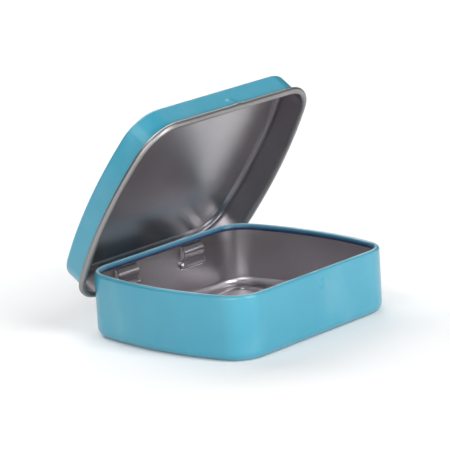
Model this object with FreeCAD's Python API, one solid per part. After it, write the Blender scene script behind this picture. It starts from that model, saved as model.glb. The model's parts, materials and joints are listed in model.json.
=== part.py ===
import FreeCAD, Part
import math
import os
from FreeCAD import Vector

# A flat hinged pocket tin, open. Millimetres, +Z up, the front wall at -Y and
# the hinge wall at +Y. The origin is the centre of the base's underside.
# The lid is modelled closed, then turned about the hinge axis to where it stands.

# ---- driving dimensions ----
tin_width = 60.0            # outside of the base wall, along the hinge
tin_depth = 50.0            # outside of the base wall, front to back
base_height = 15.8
side_radius = 85.0          # the two short sides are bowed this much
corner_radius = 8.0
sheet = 0.25                # tinplate thickness

foot_radius = 2.2           # outside radius between wall and floor
bead_inset = 5.0            # pressed ring in the floor, from the wall
bead_radius = 0.70
rim_radius = 0.80           # rolled rim, rolled inwards
rim_sweep = 290.0           # degrees of roll, from the wall over the top

lid_gap = 0.55              # between the base wall and the lid skirt
lid_lift = 0.90             # between the rim and the closed lid's ridge
lid_depth = 7.7             # from the lid's panel to the underside of its hem
lid_edge_radius = 0.8
ridge_radius = 0.90         # pressed ridge in the lid panel, over the rim
hem_radius = 0.80           # rolled hem, rolled outwards
hem_sweep = 290.0
open_angle = 56.5           # how far the lid stands open

hinge_offset = -0.8         # the two hinges' middle, from the middle of the back wall
hinge_centre = 11.8         # each hinge, from there
axis_drop = 6.8             # hinge axis, below the top of the rim
tongue_width = 7.2
tongue_gap = 0.08           # between the hinge bar and the tongue's roll
tongue_sweep = 300.0
window_gap = 0.3            # each side of the tongue, in the wall's window
window_slack = 0.25         # between the tongue's roll and the bottom of the window
window_cover = 0.6          # wall left between the rim's roll and the window
bar_landing = 0.8           # how far the bar reaches past its window
lip_side_gap = 0.4          # each side of the lip, in the window
lip_reach = 0.9             # how far the turned-in lip bulges off the wall
lip_toe = 0.25              # how far its lower edge stands off the wall
lip_clearance = 0.35        # between the lip and the tongue's roll

pip_height = 0.30           # latch: pip on the base, pocket in the lid
pip_radius = 1.45
pip_x = 1.5
pip_drop = 3.3              # below the top of the rim
pocket_slack = 0.25         # the pocket is this much larger than the pip

cut_margin = 1.0            # how far a cutter runs past the sheet it cuts

# ---- worked out from the driving dimensions ----
corner_y = tin_depth / 2 - corner_radius
side_centre_x = tin_width / 2 - side_radius
corner_x = side_centre_x + math.sqrt((side_radius - corner_radius) ** 2 - corner_y ** 2)
side_half_angle = math.degrees(math.atan2(corner_y, corner_x - side_centre_x))
back_wall = tin_depth / 2
axis_y = back_wall - sheet                      # the bars sit on the wall's inner face
axis_height = base_height - axis_drop
skirt_inner = lid_gap
skirt_outer = lid_gap + sheet
tongue_inner = sheet + skirt_inner              # the tongue's strap is in line with the skirt
tongue_outer = tongue_inner + sheet
bar_radius = tongue_inner - tongue_gap
lid_top = base_height + lid_lift + ridge_radius
ridge_inset = ridge_radius + lid_edge_radius - skirt_outer      # it starts where the edge's round ends
hem_low = lid_top - lid_depth
hem_centre = skirt_inner + hem_radius           # outset of the hem's centre line
hem_height = hem_low + hem_radius
rim_height = base_height - rim_radius
window_half = tongue_width / 2 + window_gap
window_low = axis_height - tongue_outer - window_slack
window_top = rim_height - rim_radius - window_cover
pip_z = base_height - pip_drop                  # the closed lid's pocket is at the same height
hinges = {"left": hinge_offset - hinge_centre, "right": hinge_offset + hinge_centre}
UP = Vector(0, 0, 1)


def at_angle(centre, radius, degrees):
    """Point on a circle in plan."""
    turn = math.radians(degrees)
    return Vector(centre[0] + radius * math.cos(turn), centre[1] + radius * math.sin(turn), 0)


def outline_runs():
    """The outline's eight runs: (kind, centre, radius, first angle, last angle)."""
    bow = side_half_angle
    side = (side_centre_x, 0)
    far_side = (-side_centre_x, 0)
    corners = [(corner_x, corner_y), (-corner_x, corner_y), (-corner_x, -corner_y), (corner_x, -corner_y)]
    return [
        ("arc", side, side_radius, -bow, bow),
        ("arc", corners[0], corner_radius, bow, 90),
        ("line", corners[0], corner_radius, 90, 90),
        ("arc", corners[1], corner_radius, 90, 180 - bow),
        ("arc", far_side, side_radius, 180 - bow, 180 + bow),
        ("arc", corners[2], corner_radius, 180 + bow, 270),
        ("line", corners[2], corner_radius, 270, 270),
        ("arc", corners[3], corner_radius, 270, 360 - bow),
    ]


def outline_face(outset, height):
    """Flat face inside the outline, moved outwards by outset."""
    edges = []
    for kind, centre, radius, first, last in outline_runs():
        start = at_angle(centre, radius + outset, first)
        if kind == "line":
            edges.append(Part.makeLine(start, Vector(-start.x, start.y, 0)))
        else:
            middle = at_angle(centre, radius + outset, (first + last) / 2)
            edges.append(Part.Arc(start, middle, at_angle(centre, radius + outset, last)).toShape())
    face = Part.Face(Part.Wire(edges))
    face.translate(Vector(0, 0, height))
    return face


def block(outset, low, high, round_low=0.0, round_high=0.0):
    """Solid of the outline between two heights, with a rounded bottom or top edge."""
    solid = outline_face(outset, low).extrude(Vector(0, 0, high - low))
    for level, radius in ((low, round_low), (high, round_high)):
        if radius:
            edges = [e for e in solid.Edges if all(abs(v.Z - level) < 1e-6 for v in e.Vertexes)]
            solid = solid.makeFillet(radius, edges)
    return solid


def ring(section):
    """Carry a section round the outline. It is a face in (outset, height) as X, Z."""
    runs = []
    for kind, centre, radius, first, last in outline_runs():
        piece = section.copy()
        piece.translate(Vector(radius, 0, 0))
        piece.rotate(Vector(), UP, first)
        piece.translate(Vector(centre[0], centre[1], 0))
        if kind == "line":
            runs.append(piece.extrude(Vector(-2 * centre[0], 0, 0)))
        else:
            runs.append(piece.revolve(Vector(centre[0], centre[1], 0), UP, last - first))
    return runs[0].multiFuse(runs[1:]).removeSplitter()


def roll_face(x, z, inner, outer, first, last):
    """Section of a rolled edge: a band between two radii, or a full sector if inner is 0."""
    def point(radius, degrees):
        turn = math.radians(degrees)
        return Vector(x + radius * math.cos(turn), 0, z + radius * math.sin(turn))
    middle = (first + last) / 2
    edges = [Part.Arc(point(outer, first), point(outer, middle), point(outer, last)).toShape(),
             Part.makeLine(point(outer, last), point(inner, last))]
    if inner:
        edges.append(Part.Arc(point(inner, last), point(inner, middle), point(inner, first)).toShape())
    edges.append(Part.makeLine(point(inner, first), point(outer, first)))
    return Part.Face(Part.Wire(edges))


def along_x(face_xz, x_from, x_to):
    """Turn a section drawn in X, Z so that X becomes Y, and draw it out along X."""
    face = face_xz.copy()
    face.rotate(Vector(), UP, 90)
    face.translate(Vector(x_from, 0, 0))
    return face.extrude(Vector(x_to - x_from, 0, 0))


def box_between(low, high):
    """Box from its lowest corner to its highest."""
    size = [b - a for a, b in zip(low, high)]
    return Part.makeBox(size[0], size[1], size[2], Vector(*low))


def dome(x, y, z, radius, height, length):
    """Shallow spherical cap on a -Y face at (x, y, z), closed by a plug of the given length."""
    ball_radius = (radius ** 2 + height ** 2) / (2 * height)
    ball = Part.makeSphere(ball_radius, Vector(x, y + ball_radius - height, z))
    plug = Part.makeCylinder(radius, height + length, Vector(x, y - height, z), Vector(0, 1, 0))
    return ball.common(plug)


def latch_dome(outset, radius):
    """The pip or pocket in a front wall: a domed skin one sheet thick, and its hollow."""
    face = -(tin_depth / 2 + outset)
    skin = dome(pip_x, face, pip_z, radius, pip_height, sheet)
    hollow = dome(pip_x, face + sheet, pip_z, radius - sheet, pip_height, sheet)
    return skin, hollow


def make_base():
    """Open tray with a pressed ring in its floor, two hinge windows and a latch pip."""
    tray = block(0, 0, rim_height, round_low=foot_radius)
    tray = tray.cut(block(-sheet, sheet, rim_height + cut_margin, round_low=foot_radius - sheet))
    bead = ring(roll_face(-bead_inset, 0, 0, bead_radius, 0, 180))
    groove = ring(roll_face(-bead_inset, 0, 0, bead_radius - sheet, 0, 180))
    tray = tray.fuse(bead).cut(groove)
    for middle in hinges.values():
        tray = tray.cut(box_between((middle - window_half, back_wall - cut_margin, window_low),
                                    (middle + window_half, back_wall + cut_margin, window_top)))
    skin, hollow = latch_dome(0, pip_radius)
    return tray.fuse(skin).cut(hollow)


def make_rim_curl():
    """The base's edge, rolled over and inwards."""
    centre = -rim_radius
    return ring(roll_face(centre, rim_height, rim_radius - sheet, rim_radius, 0, rim_sweep))


def make_hinge_bar(middle):
    """Round bar pressed inwards from the back wall, which the tongue rolls around."""
    half = window_half + bar_landing
    section = roll_face(axis_y, axis_height, bar_radius - sheet, bar_radius, 90, 270)
    bar = along_x(section, middle - half, middle + half)
    cap = along_x(roll_face(axis_y, axis_height, 0, bar_radius - sheet, 90, 270), 0, sheet)
    for x_cap in (middle - half, middle + half - sheet):
        end = cap.copy()
        end.translate(Vector(x_cap, 0, 0))
        bar = bar.fuse(end)
    return bar.removeSplitter()


def make_hinge_lip(middle):
    """Lip turned in from the top of the window: it bulges inwards and comes back to the wall."""
    wall = back_wall - sheet
    low = axis_height + tongue_outer + lip_clearance
    half_way = (window_top + low) / 2
    start = Vector(wall, 0, window_top)
    toe = Vector(wall - lip_toe, 0, low)
    through = Vector(sheet, 0, 0)
    crest = Vector(wall - lip_reach, 0, half_way)
    section = Part.Face(Part.Wire([
        Part.Arc(start, crest, toe).toShape(),
        Part.makeLine(toe, toe + through),
        Part.Arc(toe + through, crest + through, start + through).toShape(),
        Part.makeLine(start + through, start)]))
    half = window_half - lip_side_gap
    return along_x(section, middle - half, middle + half)


def opened(shape):
    """Turn a piece of the closed lid back about the hinge axis."""
    shape.rotate(Vector(0, axis_y, axis_height), Vector(-1, 0, 0), open_angle)
    return shape


def make_lid():
    """Lid panel and skirt, with a pressed ridge that sits over the base's rim."""
    lid = block(skirt_outer, hem_height, lid_top, round_high=lid_edge_radius)
    lid = lid.cut(block(skirt_inner, hem_height - cut_margin, lid_top - sheet,
                        round_high=lid_edge_radius - sheet))
    ridge = ring(roll_face(-ridge_inset, lid_top, 0, ridge_radius, 180, 360))
    groove = ring(roll_face(-ridge_inset, lid_top, 0, ridge_radius - sheet, 180, 360))
    lid = lid.fuse(ridge).cut(groove)
    skin, hollow = latch_dome(skirt_outer, pip_radius + pocket_slack)
    return opened(lid.fuse(skin).cut(hollow))


def make_hem_curl():
    """The skirt's edge, rolled outwards, left plain where the hinge tongues hang."""
    hem = ring(roll_face(hem_centre, hem_height, hem_radius - sheet, hem_radius,
                         180, 180 + hem_sweep))
    hem_outside = back_wall + hem_centre + hem_radius
    for middle in hinges.values():
        hem = hem.cut(box_between((middle - window_half, back_wall, hem_low - cut_margin),
                                  (middle + window_half, hem_outside + cut_margin, lid_top)))
    return opened(hem)


def make_hinge_tongue(middle):
    """Tongue drawn down from the skirt and rolled loosely round the hinge bar."""
    half = tongue_width / 2
    outer_face = back_wall + skirt_outer
    strap = Part.Face(Part.makePolygon([
        Vector(outer_face - sheet, 0, axis_height), Vector(outer_face, 0, axis_height),
        Vector(outer_face, 0, hem_height), Vector(outer_face - sheet, 0, hem_height),
        Vector(outer_face - sheet, 0, axis_height)]))
    roll = roll_face(axis_y, axis_height, tongue_inner, tongue_outer, -tongue_sweep, 0)
    tongue = along_x(strap, middle - half, middle + half)
    return opened(tongue.fuse(along_x(roll, middle - half, middle + half)).removeSplitter())


os.makedirs("parts", exist_ok=True)
pieces = {
    "base_shell": make_base(),
    "base_rim_curl": make_rim_curl(),
    "lid_shell": make_lid(),
    "lid_hem_curl": make_hem_curl(),
}
for word, middle in hinges.items():
    pieces["hinge_bar_" + word] = make_hinge_bar(middle)
    pieces["hinge_lip_" + word] = make_hinge_lip(middle)
    pieces["hinge_tongue_" + word] = make_hinge_tongue(middle)

for name, shape in pieces.items():
    shape.exportStep("parts/" + name + ".step")
    span = shape.BoundBox
    print(name, "solids", len(shape.Solids), "valid", shape.isValid(),
          "volume", round(shape.Volume, 2), "box",
          [round(v, 2) for v in (span.XMin, span.YMin, span.ZMin, span.XMax, span.YMax, span.ZMax)])
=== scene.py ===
# %% [markdown]
# # A flat hinged pocket tin, standing open
# The real tin is two pieces of tinplate, a quarter of a millimetre thick, each
# pressed out of a sheet that was printed blue on one side and left bare on the
# other. Nothing is screwed or soldered: the rim, the hem and the hinges are all
# the edge of the sheet rolled up. So every piece here is a sheet too: its blue
# face is worked out as a grid of points, the bare face is the same grid moved
# in by the sheet's thickness, and the two are joined along every cut edge. A
# Solidify modifier could thicken the sheets, but then the two faces couldn't
# have the blue and the bare finish with cut edges of their own as simply.
# %% Frame
import json
import math
import bpy
import numpy as np
from mathutils import Matrix, Vector


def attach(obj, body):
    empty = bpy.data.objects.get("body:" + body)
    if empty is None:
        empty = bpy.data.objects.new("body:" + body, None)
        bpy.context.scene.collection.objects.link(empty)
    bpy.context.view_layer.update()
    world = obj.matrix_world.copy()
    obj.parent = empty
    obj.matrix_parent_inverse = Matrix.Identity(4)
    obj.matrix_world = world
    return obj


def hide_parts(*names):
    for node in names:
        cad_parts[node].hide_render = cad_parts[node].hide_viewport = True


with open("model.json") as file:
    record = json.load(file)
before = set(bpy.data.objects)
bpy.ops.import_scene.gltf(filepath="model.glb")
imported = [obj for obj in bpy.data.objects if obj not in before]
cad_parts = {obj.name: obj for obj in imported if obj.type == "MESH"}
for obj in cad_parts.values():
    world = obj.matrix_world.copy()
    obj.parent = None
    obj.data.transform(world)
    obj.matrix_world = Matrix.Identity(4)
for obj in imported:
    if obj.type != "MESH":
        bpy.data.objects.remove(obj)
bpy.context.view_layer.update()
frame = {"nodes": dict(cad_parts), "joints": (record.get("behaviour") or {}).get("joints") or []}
MM = 0.001
print("CAD nodes:", sorted(frame["nodes"]))

# %% [markdown]
# ## Sizes
# The sizes come from the frame, in millimetres. The lid's are read from its
# nodes turned back to where they lie when the tin is shut, because there its
# skirt is upright and its panel is level, which is how it was pressed.


# %% Reading the frame
def node_points(name):
    """All points of a CAD node, in millimetres."""
    mesh = frame["nodes"][name].data
    flat = np.zeros(len(mesh.vertices) * 3)
    mesh.vertices.foreach_get("co", flat)
    return flat.reshape(-1, 3) / MM


def turned(points, degrees):
    """Points turned about the hinge axis: each keeps its distance, and positive degrees open."""
    turn = math.radians(degrees)
    back = points[..., 1] - axis_y
    up = points[..., 2] - axis_height
    result = points.copy()
    result[..., 1] = axis_y + back * math.cos(turn) + up * math.sin(turn)
    result[..., 2] = axis_height - back * math.sin(turn) + up * math.cos(turn)
    return result


hinge = frame["joints"][0]
axis_y = hinge["pos_m"][1] / MM
axis_height = hinge["pos_m"][2] / MM
open_angle = -hinge["range_deg"][0]
print("hinge axis at y", axis_y, "z", axis_height, "mm, open", open_angle, "degrees")

# %% Sizes
rim = node_points("base_rim_curl")
shut_shell = turned(node_points("lid_shell"), -open_angle)
shut_hem = turned(node_points("lid_hem_curl"), -open_angle)
tongue_xs = {word: node_points("hinge_tongue_" + word)[:, 0] for word in ("left", "right")}

half_width = round(rim[:, 0].max(), 1)
half_depth = round(rim[:, 1].max(), 1)
base_height = round(rim[:, 2].max(), 1)
lid_top = round(shut_shell[:, 2].max(), 1)
skirt_outset = round(shut_shell[:, 0].max() - half_width, 2)
hem_low = round(shut_hem[:, 2].min(), 1)
hinge_middles = {word: round((xs.min() + xs.max()) / 2, 1) for word, xs in tongue_xs.items()}
tongue_half = round(np.ptp(tongue_xs["left"]) / 2, 1)
sheet = 0.25
print("base", 2 * half_width, "x", 2 * half_depth, "x", base_height, "mm, lid top", lid_top,
      "skirt", skirt_outset, "hem", hem_low, "hinges", hinge_middles, "tongue", 2 * tongue_half)

# %% [markdown]
# ## The outline
# Seen from above, both stampings have the same outline: two straight long
# sides, two bowed short sides, and corner arcs that meet both smoothly. Every
# ring of points on the tin is this outline moved in or out, so it is enough to
# have one point and one outward direction at each station round it. The
# stations lie closer together where something small is pressed or cut.

# %% Outline values
side_radius = 85.0
corner_radius = 8.0
window_half = tongue_half + 0.3         # a hinge window, from its middle to its side
pip_x = 1.5
pip_beside = 2.4                        # stations lie closer together this far each side of the pip
corner_y = half_depth - corner_radius
bow_x = half_width - side_radius
corner_x = bow_x + math.sqrt((side_radius - corner_radius) ** 2 - corner_y ** 2)
bow = math.atan2(corner_y, corner_x - bow_x)
print("corner arcs centred at", round(corner_x, 2), corner_y, "mm, sides bowed", round(bow, 3), "radians")


# %% Outline stations
def spaced(stops, steps):
    """Values from each stop to the next in equal steps, each stop named once."""
    runs = [np.linspace(a, b, n, endpoint=False) for a, b, n in zip(stops, stops[1:], steps)]
    return np.concatenate(runs + [[stops[-1]]])


def arc_stations(centre, radius, first, last, count):
    """Stations on an arc: a point at each angle, and the radius there as its direction."""
    angle = np.linspace(first, last, count, endpoint=False)
    direction = np.stack([np.cos(angle), np.sin(angle)], 1)
    return np.array(centre) + radius * direction, direction


def straight_stations(xs, y):
    """Stations on a straight side, without its last point, which starts the next arc."""
    points = np.stack([xs[:-1], np.full(len(xs) - 1, y)], 1)
    return points, np.tile([0.0, np.sign(y)], (len(points), 1))


def outline():
    """The whole outline, anticlockwise from above, as points and outward directions."""
    quarter = math.pi / 2
    edges = [x + s * window_half for x in sorted(hinge_middles.values(), reverse=True) for s in (1, -1)]
    back_xs = spaced([corner_x, *edges, -corner_x], [8, 16, 20, 16, 8])
    front_xs = spaced([-corner_x, pip_x - pip_beside, pip_x + pip_beside, corner_x], [26, 28, 26])
    runs = [
        arc_stations((bow_x, 0), side_radius, -bow, bow, 56),
        arc_stations((corner_x, corner_y), corner_radius, bow, quarter, 34),
        straight_stations(back_xs, half_depth),
        arc_stations((-corner_x, corner_y), corner_radius, quarter, 2 * quarter - bow, 34),
        arc_stations((-bow_x, 0), side_radius, 2 * quarter - bow, 2 * quarter + bow, 56),
        arc_stations((-corner_x, -corner_y), corner_radius, 2 * quarter + bow, 3 * quarter, 34),
        straight_stations(front_xs, -half_depth),
        arc_stations((corner_x, -corner_y), corner_radius, 3 * quarter, 4 * quarter - bow, 34),
    ]
    return np.concatenate([r[0] for r in runs]), np.concatenate([r[1] for r in runs])


station_points, station_outward = outline()
print("stations round the outline:", len(station_points))

# %% [markdown]
# ## Profiles
# A profile is the line that a saw cut through the sheet would show on the blue
# side, from the middle of the panel out to the end of the roll. It is written
# as outset and height: outset 0 is the base's wall, and a minus is further in.
# Rows nearer the middle than the corners allow shrink towards the middle
# instead of moving in, so that the corners never fold over.


# %% Profile helpers
def straight(start, end, count):
    """Points from start to end, without start."""
    share = np.linspace(0, 1, count + 1)[1:, None]
    return np.array(start) * (1 - share) + np.array(end) * share


def rolled(centre, radius, first, last, count):
    """Points along an arc, in degrees, without its first one."""
    angle = np.radians(np.linspace(first, last, count + 1)[1:])
    return np.stack([centre[0] + radius * np.cos(angle), centre[1] + radius * np.sin(angle)], 1)


def pressed_ring(middle, half, level, rise, count):
    """A ring pressed out of a flat panel: its height is a raised cosine across its width."""
    across = np.linspace(-1, 1, count + 1)[1:]
    return np.stack([middle + half * across, level + rise * (1 + np.cos(math.pi * across)) / 2], 1)


def panel_rows(edge, level, count):
    """The flat middle: rows that shrink from the edge ring to a small ring at the centre."""
    shrink = np.linspace(0.02, 1.0, count)
    return np.tile([edge, level], (count, 1)), shrink


def carried(profile, shrink):
    """Grid of points: each row of the profile carried round the outline.

    The rows named in shrink are drawn towards the middle by it, and the rest keep their size.
    """
    size = np.ones(len(profile))
    size[:len(shrink)] = shrink
    ring = station_points[None] + station_outward[None] * profile[:, None, :1]
    plan = ring * size[:, None, None]
    height = np.broadcast_to(profile[:, None, 1:], plan.shape[:2] + (1,))
    return np.concatenate([plan, height], 2)


# %% [markdown]
# ## A sheet as a mesh
# The grid gives the blue face. Its normals come from the grid itself: the cross
# product of the direction along a row and the direction across the rows. The
# bare face is each point moved back along its normal by the thickness. A wall
# joins the two along every edge that has only one face beside it, so the holes
# for the hinges get cut edges by themselves. Smooth shading could be left to
# Blender, but the pieces of one sheet would then show a line where they meet,
# so the normals are stored on the mesh.


# %% Faces and normals of a grid
def grid_normals(grid, closed, side):
    """Unit normals: the slope along rows crossed with the slope across them, times side."""
    if closed:
        along = np.roll(grid, -1, 1) - np.roll(grid, 1, 1)
    else:
        along = np.gradient(grid, axis=1)
    across = np.gradient(grid, axis=0)
    normal = side * np.cross(along, across)
    return normal / np.linalg.norm(normal, axis=2, keepdims=True)


def grid_quads(rows, columns, closed, side):
    """Corner numbers of every quad of a grid, turned so that they face the blue side."""
    last = columns if closed else columns - 1
    j, i = np.meshgrid(np.arange(rows - 1), np.arange(last), indexing="ij")
    k = (i + 1) % columns
    corners = [j * columns + i, j * columns + k, (j + 1) * columns + k, (j + 1) * columns + i]
    quads = np.stack(corners, 2).reshape(-1, 4)
    return quads if side > 0 else quads[:, ::-1]


def open_edges(faces):
    """Directed edges that no other face runs along the other way."""
    edges = {(a, b) for face in faces for a, b in zip(face, face[1:] + face[:1])}
    return [(a, b) for a, b in edges if (b, a) not in edges]


# %% Blue face
def blue_face(grid, normals, closed, side, keep, centre):
    """Points, normals and faces of the blue side, with the points that no face uses left out.

    keep says which quads stay. centre is a point and its normal that close the first row.
    """
    rows, columns = grid.shape[:2]
    faces = grid_quads(rows, columns, closed, side)
    if keep is not None:
        faces = faces[keep.reshape(-1)]
    faces = faces.tolist()
    points = grid.reshape(-1, 3)
    outward = normals.reshape(-1, 3)
    if centre is not None:
        points = np.vstack([points, centre[0]])
        outward = np.vstack([outward, centre[1]])
        hub = len(points) - 1
        spokes = [[hub, (i + 1) % columns, i] for i in range(columns)]
        faces += spokes if side > 0 else [spoke[::-1] for spoke in spokes]
    used = np.unique([corner for face in faces for corner in face])
    renumber = np.full(len(points), -1)
    renumber[used] = np.arange(len(used))
    faces = [[int(renumber[c]) for c in face] for face in faces]
    return points[used], outward[used], faces


# %% Sheet piece
def store_normals(mesh, faces, bare, walls, outward, points):
    """Each corner of a face gets the sheet's own normal, and each wall its flat one."""
    count = len(outward)
    skin = outward[[c for face in faces for c in face]]
    back = -outward[[c - count for face in bare for c in face]]
    corner = points[np.array(walls)]
    flat = np.cross(corner[:, 1] - corner[:, 0], corner[:, 2] - corner[:, 1])
    flat /= np.maximum(np.linalg.norm(flat, axis=1, keepdims=True), 1e-12)
    mesh.normals_split_custom_set(np.vstack([skin, back, np.repeat(flat, 4, 0)]).tolist())


def sheet_piece(name, grid, normals, closed, side, materials, keep=None, centre=None):
    """A sheet-metal piece: blue face, bare face, and a wall along every open edge.

    A wall has the last material of the list, which may be a third one for a dull cut edge.
    """
    blue, outward, faces = blue_face(grid, normals, closed, side, keep, centre)
    count = len(blue)
    points = np.vstack([blue, blue - sheet * outward]) * MM
    bare = [[c + count for c in face[::-1]] for face in faces]
    walls = [[b, a, a + count, b + count] for a, b in sorted(open_edges(faces))]
    mesh = bpy.data.meshes.new(name)
    mesh.from_pydata(points.tolist(), [], faces + bare + walls)
    for material in materials:
        mesh.materials.append(material)
    kinds = np.repeat([0, 1, len(materials) - 1], [len(faces), len(bare), len(walls)])
    mesh.polygons.foreach_set("material_index", kinds.astype(np.int32))
    mesh.polygons.foreach_set("use_smooth", np.ones(len(kinds), bool))
    store_normals(mesh, faces, bare, walls, outward, points)
    piece = bpy.data.objects.new(name, mesh)
    bpy.context.scene.collection.objects.link(piece)
    print(name, "has", len(mesh.vertices), "points and", len(mesh.polygons), "faces")
    return piece


# %% [markdown]
# ## The finishes
# The lacquer is a printed coat: an even sky blue that is a little deeper where
# the ink lay thicker, with a faint orange-peel skin and a clear varnish over
# it. The colour drift is large and weak, with a few faint rubbed places, and the
# skin is fine and only in the bump, because that is how roller-coated sheet
# looks up close. On the rim a pale painted highlight runs in patches along the
# top of the roll, and further in the colour turns navy as painted shade. Where a
# colour follows the roll, it reads a value that the piece carries at each point,
# so it can't slide off the edge.


# %% Node helpers
def new_material(name):
    """An empty material with its shader and object coordinates ready."""
    material = bpy.data.materials.new(name)
    material.use_nodes = True
    tree = material.node_tree
    tree.nodes.clear()
    output = tree.nodes.new("ShaderNodeOutputMaterial")
    shader = tree.nodes.new("ShaderNodeBsdfPrincipled")
    place = tree.nodes.new("ShaderNodeTexCoord")
    tree.links.new(shader.outputs["BSDF"], output.inputs["Surface"])
    return material, tree, shader, place.outputs["Object"]


def noise(tree, place, scale, detail=2.0, stretch=(1, 1, 1)):
    """A noise pattern in object space. Scale is in lumps per metre."""
    mapping = tree.nodes.new("ShaderNodeMapping")
    mapping.inputs["Scale"].default_value = stretch
    pattern = tree.nodes.new("ShaderNodeTexNoise")
    pattern.inputs["Scale"].default_value = scale
    pattern.inputs["Detail"].default_value = detail
    tree.links.new(place, mapping.inputs["Vector"])
    tree.links.new(mapping.outputs["Vector"], pattern.inputs["Vector"])
    return pattern.outputs["Fac"]


def ranged(tree, value, low, high, start=0.3, end=0.7):
    """Spread a pattern's values between two numbers."""
    spread = tree.nodes.new("ShaderNodeMapRange")
    for name, number in (("From Min", start), ("From Max", end), ("To Min", low), ("To Max", high)):
        spread.inputs[name].default_value = number
    tree.links.new(value, spread.inputs["Value"])
    return spread.outputs["Result"]


def blended(tree, amount, first, second):
    """One colour turning into another by an amount. The first may be a colour or an output."""
    mix = tree.nodes.new("ShaderNodeMix")
    mix.data_type = "RGBA"
    if isinstance(first, tuple):
        mix.inputs["A"].default_value = (*first, 1)
    else:
        tree.links.new(first, mix.inputs["A"])
    mix.inputs["B"].default_value = (*second, 1)
    tree.links.new(amount, mix.inputs["Factor"])
    return mix.outputs["Result"]


def carried_value(tree, name):
    """A number that the piece carries at each of its points."""
    attribute = tree.nodes.new("ShaderNodeAttribute")
    attribute.attribute_name = name
    return attribute.outputs["Fac"]


def bumped(tree, height, distance, below=None):
    """Bump from a height pattern, laid over another bump if one is given."""
    bump = tree.nodes.new("ShaderNodeBump")
    bump.inputs["Distance"].default_value = distance
    bump.inputs["Strength"].default_value = 1.0
    tree.links.new(height, bump.inputs["Height"])
    if below is not None:
        tree.links.new(below, bump.inputs["Normal"])
    return bump.outputs["Normal"]


# %% Blue lacquer
thick_ink = (0.034, 0.238, 0.335)
thin_ink = (0.046, 0.268, 0.365)
rubbed_ink = (0.30, 0.46, 0.50)
# painted shade: the navy that the inside of the rim's roll is turned to
navy_shade = (0.006, 0.020, 0.075)
# painted highlight: the pale colour along the top of the rim's roll
pale_highlight_colour = (0.66, 0.76, 0.80)
rub_most = 0.08             # how far a rubbed place goes towards its colour
peel_depth = 0.000003       # metres
wave_depth = 0.00004


def rim_shade_and_highlight(tree, place, colour):
    """The lacquer's colour turned navy inside the roll as painted shade, with a pale painted highlight in
    patches along its top.
    """
    # painted shade: navy further into the roll
    colour = blended(tree, carried_value(tree, "roll_shade"), colour, navy_shade)
    # painted highlight along the top of the roll, broken into patches
    highlight_patches = tree.nodes.new("ShaderNodeMath")
    highlight_patches.operation = "MULTIPLY"
    tree.links.new(carried_value(tree, "crest_highlight"), highlight_patches.inputs[0])
    tree.links.new(ranged(tree, noise(tree, place, 160, 2), 0.35, 1), highlight_patches.inputs[1])
    return blended(tree, highlight_patches.outputs["Value"], colour, pale_highlight_colour)


def make_lacquer(name, on_rim=False):
    """Sky-blue lacquer over tinplate. On the rim it has a pale painted highlight along the top, and navy
    painted shade inside.
    """
    material, tree, shader, place = new_material(name)
    drift = ranged(tree, noise(tree, place, 55, 3), 0, 1)
    rubs = ranged(tree, noise(tree, place, 110, 3, (1, 1, 0.7)), 0, rub_most, 0.52, 0.75)
    colour = blended(tree, rubs, blended(tree, drift, thick_ink, thin_ink), rubbed_ink)
    if on_rim:
        colour = rim_shade_and_highlight(tree, place, colour)
    tree.links.new(colour, shader.inputs["Base Color"])
    tree.links.new(ranged(tree, noise(tree, place, 700, 3), 0.36, 0.44), shader.inputs["Roughness"])
    shader.inputs["Specular IOR Level"].default_value = 0.3
    shader.inputs["Coat Weight"].default_value = 0.6
    shader.inputs["Coat Roughness"].default_value = 0.16
    peel = bumped(tree, noise(tree, place, 1400, 2), peel_depth)
    waves = bumped(tree, noise(tree, place, 90, 1), wave_depth, peel)
    tree.links.new(waves, shader.inputs["Normal"])
    return material


lacquer = make_lacquer("blue_lacquer")
rim_lacquer = make_lacquer("blue_lacquer_rim", on_rim=True)
print("made", lacquer.name, "and", rim_lacquer.name)

# %% [markdown]
# Bare tinplate is steel with a skin of tin. The rolls of the mill leave fine
# lines along the sheet, the tin itself has a grain like frost, and drawing the
# walls leaves faint upright streaks. Each is its own pattern, and each is far
# too fine to change what the metal mirrors: together they only soften it. The
# hem and the cut edges were worked harder, so they are darker and duller.

# %% Bare tinplate
grain_most = 0.10           # how far a dark grain goes towards its colour
grain_shade = 0.7           # of the dark colour
line_depth = 0.0000020      # metres
streak_depth = 0.0000030


def make_tinplate(name, dark, pale, rough):
    """Bare tinplate: a satin metal with mill lines, grain and drawing streaks."""
    material, tree, shader, place = new_material(name)
    bloom = ranged(tree, noise(tree, place, 70, 3), 0, 1)
    grain = ranged(tree, noise(tree, place, 2200, 2), 0, grain_most)
    darkest = tuple(grain_shade * c for c in dark)
    speckled = blended(tree, grain, blended(tree, bloom, dark, pale), darkest)
    tree.links.new(speckled, shader.inputs["Base Color"])
    shader.inputs["Metallic"].default_value = 1.0
    lines = noise(tree, place, 600, 1, (0.06, 1, 1))
    tree.links.new(ranged(tree, lines, rough - 0.015, rough + 0.02), shader.inputs["Roughness"])
    mill = bumped(tree, lines, line_depth)
    drawn = bumped(tree, noise(tree, place, 600, 1, (1, 1, 0.05)), streak_depth, mill)
    tree.links.new(drawn, shader.inputs["Normal"])
    return material


tinplate = make_tinplate("bare_tinplate", (0.440, 0.418, 0.440), (0.490, 0.472, 0.488), 0.30)
rolled_tinplate = make_tinplate("bare_tinplate_rolled", (0.270, 0.262, 0.262), (0.320, 0.312, 0.310), 0.44)
print("made", tinplate.name, "and", rolled_tinplate.name)

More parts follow.
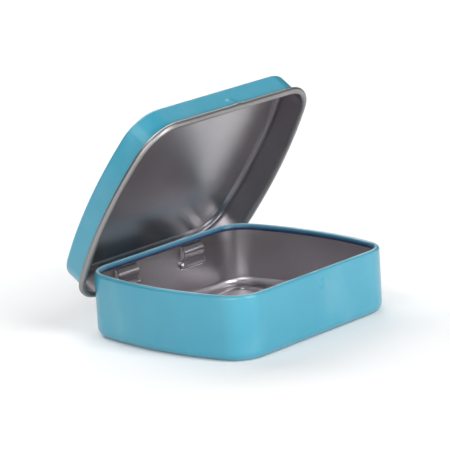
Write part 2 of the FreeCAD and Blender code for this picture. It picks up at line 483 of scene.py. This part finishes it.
# %% [markdown]
# ## The base
# The press draws a flat blank into a tray. The floor keeps a raised ring that
# stiffens it, the foot is rounded, and the wall runs straight up into the rim.
# The rim is rolled inwards round a little air, so that no cut edge is left
# where a finger goes. A bevelled box with holes cut by booleans could look like
# it from afar, but its faces would be uneven round the holes and the metal
# would mirror that. So the sheet is one grid from the middle of the floor to
# the end of the roll, with rows and stations laid on the edges of the holes,
# and it is split into two named pieces at the foot of the roll.

# %% Base values
foot_radius = 2.2
bead_inset = 5.0            # the ring in the floor, from the wall
bead_half = 1.1
bead_rise = 0.45
rim_radius = 0.8
rim_height = base_height - rim_radius
rim_sweep = 290             # degrees
roll_steps = 32
tongue_radius = half_depth + skirt_outset - axis_y      # its strap is in line with the skirt
window_low = axis_height - tongue_radius - 0.25
window_top = rim_height - rim_radius - 0.6
pip_z = base_height - 3.3
pip_reach = 1.5
pip_rise = 0.29
pip_above = 1.9             # rows lie closer together this far from the pip
print("windows from", round(window_low, 2), "to", round(window_top, 2), "mm, pip at", round(pip_z, 2))


# %% Base sheet
def dome(grid, x, z, reach, rise):
    """How far a small round pressing stands out: rise at its middle, fading to nothing."""
    away = np.hypot(grid[..., 0] - x, grid[..., 2] - z) / reach
    front = grid[..., 1] < -half_depth / 2
    return np.where(front & (away < 1), rise * np.maximum(1 - away ** 2, 0) ** 0.9, 0.0)


def base_grid():
    """The blue side of the base, from the floor's middle to the end of the rim's roll."""
    flat, shrink = panel_rows(-bead_inset - bead_half, 0.0, 10)
    wall_stops = [foot_radius, window_low, pip_z - pip_above, window_top, rim_height]
    wall_heights = spaced(wall_stops, [10, 7, 12, 5])[1:]
    profile = np.concatenate([
        flat,
        pressed_ring(-bead_inset, bead_half, 0.0, bead_rise, 14),
        straight((-bead_inset + bead_half, 0), (-foot_radius, 0), 2),
        rolled((-foot_radius, foot_radius), foot_radius, -90, 0, 12),
        np.stack([np.zeros(len(wall_heights)), wall_heights], 1),
        rolled((-rim_radius, rim_height), rim_radius, 0, rim_sweep, roll_steps),
    ])
    grid = carried(profile, shrink)
    grid[..., 1] -= dome(grid, pip_x, pip_z, pip_reach, pip_rise)
    return grid, len(profile) - roll_steps - 1


def over_a_hinge(x):
    """True where a place along the hinge lies within one of the two hinges' windows."""
    return np.any([np.abs(x - middle) < window_half for middle in hinge_middles.values()], 0)


def outside_windows(grid):
    """True for each quad that isn't in one of the two hinge windows of the back wall."""
    nearby = [grid[:-1], grid[1:], np.roll(grid[:-1], -1, 1), np.roll(grid[1:], -1, 1)]
    middle = sum(nearby) / 4
    across = over_a_hinge(middle[..., 0])
    upright = (middle[..., 2] > window_low) & (middle[..., 2] < window_top)
    return ~(across & upright & (middle[..., 1] > half_depth - 1))


# %% Base pieces
grid, roll_row = base_grid()
normals = grid_normals(grid, True, 1)
shell_rows = slice(0, roll_row + 1)
floor_middle = (np.array([0, 0, 0.0]), np.array([0, 0, -1.0]))
base_shell = sheet_piece("base_shell_sheet", grid[shell_rows], normals[shell_rows], True, 1,
                         [lacquer, tinplate], outside_windows(grid[shell_rows]), floor_middle)
base_rim = sheet_piece("base_rim_roll", grid[roll_row:], normals[roll_row:], True, 1,
                       [rim_lacquer, tinplate])
roll_angle = np.linspace(0, rim_sweep, roll_steps + 1)
# painted shade, navy, further into the rim's roll, and a painted highlight along its top
shades = {"roll_shade": np.clip((roll_angle - 100) / 90, 0, 1),
          "crest_highlight": np.exp(-((roll_angle - 88) / 20) ** 2)}
for name, shade in shades.items():
    attribute = base_rim.data.attributes.new(name, "FLOAT", "POINT")
    along_rim = np.repeat(shade, len(station_points))
    attribute.data.foreach_set("value", np.tile(along_rim, 2).astype(np.float32))
for piece, node in ((base_shell, "base_shell"), (base_rim, "base_rim_curl")):
    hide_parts(node)
    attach(piece, "base")

# %% [markdown]
# ## The lid
# The lid is pressed the same way, a little larger all round, and its hem is
# rolled outwards, which turns the bare side to the outside: that is why the
# edge of a blue lid is silver. A ridge is pressed into the panel just inside
# the skirt. It stiffens the panel and comes down over the base's rim. The
# press also pulls the panel down a little beside the ridge, and that shallow
# dish is what bends the reflections near the corners. The lid is worked out
# shut, where its shape is simple, and then turned about the hinge.

# %% Lid values
lid_edge_radius = 0.8
ridge_inset = 0.9
ridge_half = 0.85
ridge_drop = 0.55
dish_reach = 4.2
dish_drop = 0.18
hem_radius = 0.80
hem_sweep = 290             # degrees
hem_height = hem_low + hem_radius
hem_middle = skirt_outset - sheet + hem_radius
pocket_reach = 1.9
print("hem rolled round outset", round(hem_middle, 2), "and height", round(hem_height, 2), "mm")


# %% Lid sheet
def ridge_height(out):
    """Height of the panel near its ridge: a narrow raised cosine over a wide, shallow one."""
    away = np.abs(out + ridge_inset)
    wide = np.where(out < -ridge_inset, dish_reach, ridge_half)
    narrow = 1 + np.cos(math.pi * np.clip(away / ridge_half, 0, 1))
    dish = 1 + np.cos(math.pi * np.clip(away / wide, 0, 1))
    return lid_top - ridge_drop * narrow / 2 - dish_drop * dish / 2


def lid_grid():
    """The blue side of the shut lid, from the panel's middle to the end of the hem's roll."""
    flat, shrink = panel_rows(-ridge_inset - dish_reach, lid_top, 12)
    ridge_stops = [-ridge_inset - dish_reach, -ridge_inset - ridge_half, -ridge_inset + ridge_half]
    outs = spaced(ridge_stops, [10, 18])[1:]
    corner = (skirt_outset - lid_edge_radius, lid_top - lid_edge_radius)
    skirt_stops = [corner[1], pip_z + pip_above, hem_height + 0.1, hem_height]
    skirt_heights = spaced(skirt_stops, [4, 14, 4])[1:]
    profile = np.concatenate([
        flat,
        np.stack([outs, ridge_height(outs)], 1),
        rolled(corner, lid_edge_radius, 90, 0, 9),
        np.stack([np.full(len(skirt_heights), skirt_outset), skirt_heights], 1),
        rolled((hem_middle, hem_height), hem_radius - sheet, 180, 180 + hem_sweep, roll_steps),
    ])
    grid = carried(profile, shrink)
    grid[..., 1] -= dome(grid, pip_x, pip_z, pocket_reach, pip_rise)
    return grid, len(profile) - roll_steps - 1


def outside_tongues(grid):
    """True for each quad of the hem that isn't where a hinge tongue hangs."""
    middle = (grid[:-1] + np.roll(grid[:-1], -1, 1)) / 2
    across = over_a_hinge(middle[..., 0])
    return ~(across & (middle[..., 1] > half_depth - 1))


# %% Lid pieces
grid, roll_row = lid_grid()
hem_keep = outside_tongues(grid[roll_row:])
grid = turned(grid, open_angle)
normals = grid_normals(grid, True, -1)
lean = math.radians(open_angle)
panel_middle = (turned(np.array([0, 0, lid_top]), open_angle), np.array([0, math.sin(lean), math.cos(lean)]))
shell_rows = slice(0, roll_row + 1)
lid_shell = sheet_piece("lid_shell_sheet", grid[shell_rows], normals[shell_rows], True, -1,
                        [lacquer, tinplate], None, panel_middle)
lid_hem = sheet_piece("lid_hem_roll", grid[roll_row:], normals[roll_row:], True, -1,
                      [lacquer, rolled_tinplate], hem_keep)
for piece, node, finish in ((lid_shell, "lid_shell", "blue_lacquer"),
                            (lid_hem, "lid_hem_curl", "bare_tinplate")):
    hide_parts(node)
    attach(piece, "lid")

# %% [markdown]
# ## The hinges
# Each hinge is three pressings. A bar is pushed inwards out of the back wall, a
# tongue on the lid's edge goes in through a window under it and rolls up round
# it, and a lip is turned in over the top of the window so that nothing catches
# on the cut edge. They could be bent with a Simple Deform modifier, but a roll
# that has to turn round a bar is easier to get right as a formula. So each is a
# path in the side view, carried straight along the hinge.


# %% Hinge helpers
def along_hinge(path, x_middle, x_half, columns=23):
    """Grid of a path in Y and Z carried along X."""
    xs = x_middle + np.linspace(-x_half, x_half, columns)
    grid = np.zeros((len(path), columns, 3))
    grid[..., 0] = xs[None]
    grid[..., 1:] = path[:, None]
    return grid


def add_hinge(grid, name, node, body):
    """One hinge pressing, from its grid to its place in the frame."""
    piece = sheet_piece(name, grid, grid_normals(grid, False, 1), False, 1,
                        [tinplate, tinplate, rolled_tinplate])
    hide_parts(node)
    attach(piece, body)
    return piece


# %% Hinge bar
bar_radius = skirt_outset - 0.08        # the tongue rolls round it with this little air
bar_end_radius = 0.34
bar_landing = 0.3                       # how far it reaches past its window
bar_taper = 0.5


def make_bar(middle):
    """Half-round bar, drawn down to a small radius at its ends: an ellipse along the hinge."""
    half = window_half + bar_landing
    angle = np.radians(np.linspace(90, 270, 19))
    x = np.linspace(-half, half, 41)
    past = np.clip((np.abs(x) - (half - bar_taper)) / bar_taper, 0, 1)
    radius = bar_end_radius + (bar_radius - bar_end_radius) * np.sqrt(1 - past ** 2)
    grid = np.zeros((len(angle), len(x), 3))
    grid[..., 0] = middle + x
    grid[..., 1] = axis_y + radius * np.cos(angle)[:, None]
    grid[..., 2] = axis_height + radius * np.sin(angle)[:, None]
    return grid


# %% Hinge lip
lip_half = window_half - 0.4
lip_bulge = 0.76
lip_toe = 0.27                          # how far its lower edge stands off the wall
lip_drop = 3.15


def make_lip(middle):
    """Lip: in from the window's top and back to the wall, as half a sine wave over a slope."""
    fall = np.linspace(0, 1, 26)
    inwards = lip_bulge * np.sin(fall * math.pi) + lip_toe * fall
    path = np.stack([half_depth - sheet - inwards, window_top - lip_drop * fall], 1)
    return along_hinge(path, middle, lip_half)


# %% Hinge tongue
tongue_sweep = 300                      # degrees


def make_tongue(middle):
    """Tongue: straight down from the skirt, then most of a turn round the bar."""
    strap_y = axis_y + tongue_radius
    path = np.concatenate([
        [[strap_y, hem_height]],
        straight((strap_y, hem_height), (strap_y, axis_height), 4),
        rolled((axis_y, axis_height), tongue_radius, 0, -tongue_sweep, 40),
    ])
    return turned(along_hinge(path, middle, tongue_half), open_angle)


# %% Hinge pieces
for word, middle in hinge_middles.items():
    add_hinge(make_bar(middle), "hinge_bar_pressing_" + word, "hinge_bar_" + word, "base")
    add_hinge(make_lip(middle), "hinge_lip_pressing_" + word, "hinge_lip_" + word, "base")
    add_hinge(make_tongue(middle), "hinge_tongue_roll_" + word, "hinge_tongue_" + word, "lid")

# %% [markdown]
# ## Floor
# The tin stands on a plain pale floor. It is a round one that ends just short
# of the lights, because further out it would fall off into the dark and show
# as a grey band behind the tin when it is seen from low down.


# %% Floor
def make_floor():
    """A pale round floor, a little smaller than the ring of lights."""
    mesh = bpy.data.meshes.new("floor")
    angle = np.linspace(0, 2 * math.pi, 96, endpoint=False)
    edge = 1.1 * np.stack([np.cos(angle), np.sin(angle), 0 * angle], 1)
    mesh.from_pydata(edge.tolist(), [], [list(range(len(edge)))])
    floor = bpy.data.objects.new("floor", mesh)
    bpy.context.scene.collection.objects.link(floor)
    material, tree, shader, place = new_material("pale_floor")
    shader.inputs["Base Color"].default_value = (0.9, 0.9, 0.9, 1)
    shader.inputs["Roughness"].default_value = 0.9
    mesh.materials.append(material)


make_floor()
print("floor made")

# %% [markdown]
# ## Lights
# Metal shows what is round it, so the lights matter more than for paint. One
# even white room would turn the bare side flat and pale. Instead a few large
# soft panels stand round the tin, in three rings by height. The low ones light
# the outer walls, the middle ones reach into the base, and the high ones light
# the floor, which the lid mirrors as one broad bright band. The room behind
# them is white to the camera, but it gives no light and isn't mirrored.

# %% Light panels
panel_away = 1.2                        # metres
panel_aim = Vector((0, 0.005, 0.02))


def add_panel(name, azimuth, elevation, size, power):
    """A soft panel of light, facing the tin. Azimuth 0 is in front of it, and 90 on its right."""
    around, above = math.radians(azimuth), math.radians(elevation)
    level = math.cos(above)
    away = Vector((math.sin(around) * level, -math.cos(around) * level, math.sin(above)))
    data = bpy.data.lights.new(name, "AREA")
    data.shape = "RECTANGLE"
    data.size, data.size_y = size
    data.energy = power
    light = bpy.data.objects.new(name, data)
    light.location = panel_aim + panel_away * away
    light.rotation_euler = (-away).to_track_quat("-Z", "Y").to_euler()
    bpy.context.scene.collection.objects.link(light)


rows = [                                # name, elevation, size in metres, watts at each azimuth
    ("low", 8, (0.6, 0.30), {0: 8.0, 60: 1.6, 270: 4.0, 300: 3.2}),
    ("middle", 25, (0.6, 0.35), {300: 1.8, 320: 1.6}),
    ("high", 45, (0.6, 0.50), {0: 7.2, 90: 0.4, 135: 4.5, 180: 7.0, 270: 1.9}),
]
for row, elevation, size, watts in rows:
    for azimuth, power in watts.items():
        add_panel("panel_%s_%d" % (row, azimuth), azimuth, elevation, size, power)
print("light panels:", sum(len(row[3]) for row in rows))

# %% Room
world = bpy.data.worlds.new("room")
bpy.context.scene.world = world
world.use_nodes = True
world.node_tree.nodes["Background"].inputs["Color"].default_value = (1, 1, 1, 1)
world.node_tree.nodes["Background"].inputs["Strength"].default_value = 1.0
for ray in ("diffuse", "glossy", "transmission", "scatter"):
    setattr(world.cycles_visibility, ray, False)
bpy.context.scene.view_settings.view_transform = "Standard"
print("room made")

# %% [markdown]
# ## Camera
# The camera looks down a little at the front left corner through a long lens,
# which keeps the far side of a small thing nearly as large as the near one.
# It is given as a person would say it, by its bearing, height and tilt about
# the point that it looks at, and those three turn into its axes.

# %% Camera
camera_azimuth = -48.20                 # degrees
camera_elevation = 14.07
camera_roll = -3.60
camera_distance = 766.2
camera_target = Vector((1.77, 4.80, 22.91))
camera_lens = 256.9


def make_camera():
    """Camera from its azimuth, elevation and roll about a target, in degrees and millimetres."""
    azimuth, elevation, roll = (math.radians(a) for a in (camera_azimuth, camera_elevation, camera_roll))
    level = math.cos(elevation)
    back = Vector((math.sin(azimuth) * level, -math.cos(azimuth) * level, math.sin(elevation)))
    right = Vector((0, 0, 1)).cross(back).normalized()
    up = back.cross(right)
    right_rolled = math.cos(roll) * right + math.sin(roll) * up
    up_rolled = -math.sin(roll) * right + math.cos(roll) * up
    data = bpy.data.cameras.new("camera")
    data.lens = camera_lens
    data.sensor_width = 36.0
    data.clip_end = 50.0
    camera = bpy.data.objects.new("camera", data)
    turn = Matrix((right_rolled, up_rolled, back)).transposed().to_4x4()
    camera.matrix_world = Matrix.Translation((camera_target + back * camera_distance) * MM) @ turn
    bpy.context.scene.collection.objects.link(camera)
    bpy.context.scene.camera = camera
    return camera


camera = make_camera()
print("camera at", [round(v, 3) for v in camera.matrix_world.translation])
